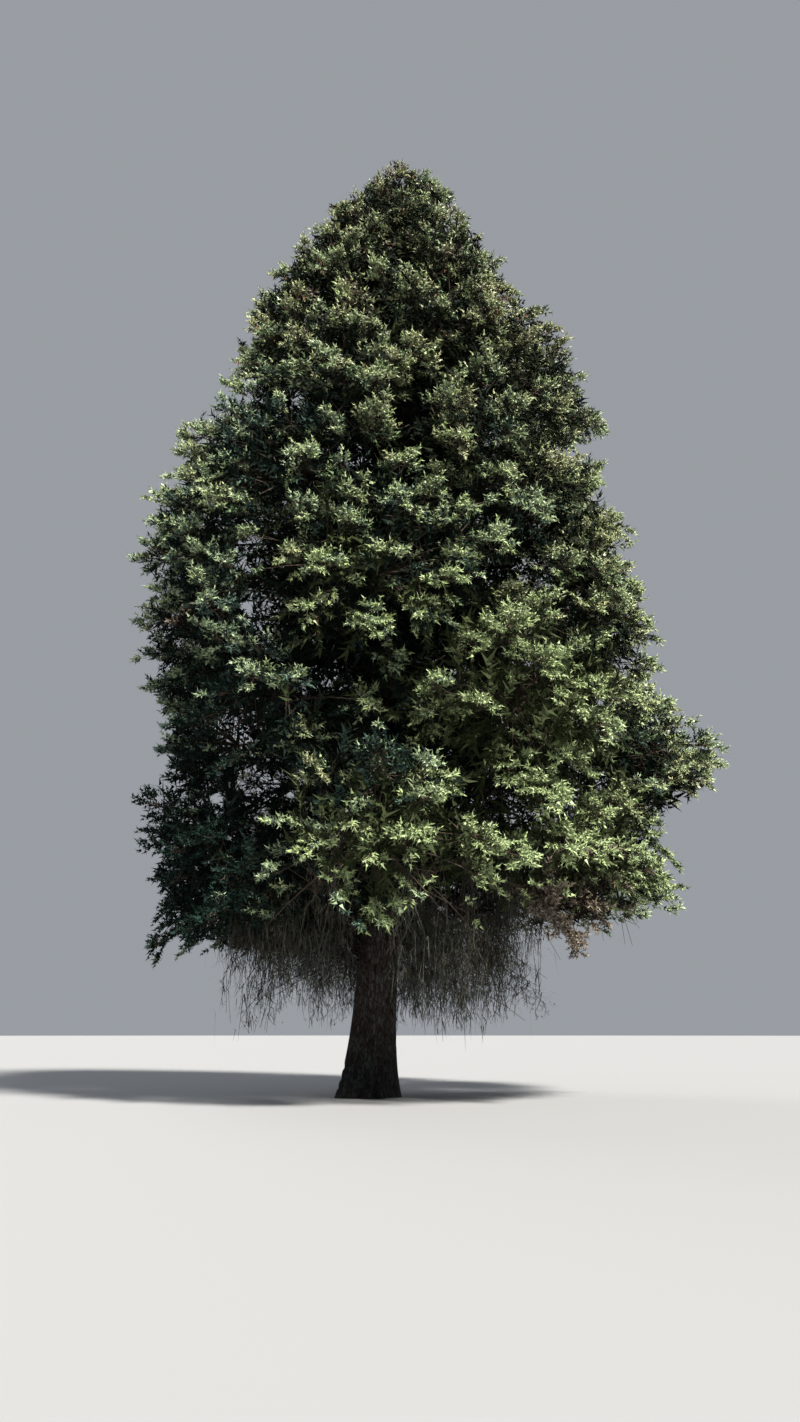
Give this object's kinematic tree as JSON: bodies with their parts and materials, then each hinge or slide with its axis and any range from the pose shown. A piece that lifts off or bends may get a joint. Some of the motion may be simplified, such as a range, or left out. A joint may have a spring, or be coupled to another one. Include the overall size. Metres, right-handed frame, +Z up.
{
  "type": "blue spruce tree",
  "caption": "Tall blue spruce that shades and screens a garden: a dense, blunt-topped cone of foliage on whorled boughs, over a bare flared trunk foot with a skirt of dead hanging twigs.",
  "frame": {"origin": "middle of the trunk's flat cut at ground level", "axes": "+Z up along the trunk, +X to the right and -Y towards the viewer of the picture"},
  "size_m": [13.4877, 12.6868, 23.766],
  "materials": {
    "bark": "deeply furrowed, matte",
    "needles_sunlit": "waxy sage-green needles, matte",
    "needles_green": "waxy green needles, matte",
    "needles_shade": "dull blue-green inner needles, matte"
  },
  "bodies": {
    "root": {"bough_tier1_1": "bark", "bough_tier1_2": "bark", "bough_tier1_3": "bark", "bough_tier1_4": "bark", "bough_tier1_5": "bark", "bough_tier1_6": "bark", "bough_tier2_1": "bark", "bough_tier2_2": "bark", "bough_tier2_3": "bark", "bough_tier2_4": "bark", "bough_tier2_5": "bark", "bough_tier2_6": "bark", "foliage_tier1_1": "needles_sunlit", "foliage_tier1_2": "needles_green", "foliage_tier1_3": "needles_shade", "foliage_tier1_4": "needles_sunlit", "foliage_tier1_5": "needles_green", "foliage_tier1_6": "needles_shade", "foliage_tier2_1": "needles_green", "foliage_tier2_2": "needles_shade", "foliage_tier2_3": "needles_sunlit", "foliage_tier2_4": "needles_green", "foliage_tier2_5": "needles_shade", "foliage_tier2_6": "needles_sunlit", "foliage_tier3_1": "needles_shade", "foliage_tier3_2": "needles_sunlit", "foliage_tier3_3": "needles_green", "foliage_tier3_4": "needles_shade", "foliage_tier3_5": "needles_sunlit", "foliage_tier3_6": "needles_green", "foliage_tier4_1": "needles_sunlit", "foliage_tier4_2": "needles_green", "foliage_tier4_3": "needles_shade", "foliage_tier4_4": "needles_sunlit", "foliage_tier4_5": "needles_green", "foliage_tier4_6": "needles_shade", "foliage_tier5_1": "needles_green", "foliage_tier5_2": "needles_shade", "foliage_tier5_3": "needles_sunlit", "foliage_tier5_4": "needles_green", "foliage_tier5_5": "needles_shade", "foliage_tier6_1": "needles_shade", "foliage_tier6_2": "needles_sunlit", "foliage_tier6_3": "needles_green", "foliage_tier6_4": "needles_shade", "foliage_tier6_5": "needles_sunlit", "foliage_tier7_1": "needles_sunlit", "foliage_tier7_2": "needles_green", "foliage_tier7_3": "needles_shade", "foliage_tier7_4": "needles_sunlit", "foliage_tier8_1": "needles_green", "foliage_tier8_2": "needles_shade", "foliage_tier8_3": "needles_sunlit", "foliage_tier9_1": "needles_shade", "foliage_tier9_2": "needles_sunlit", "foliage_tier9_3": "needles_green", "trunk": "bark"}
  },
  "joints": []
}
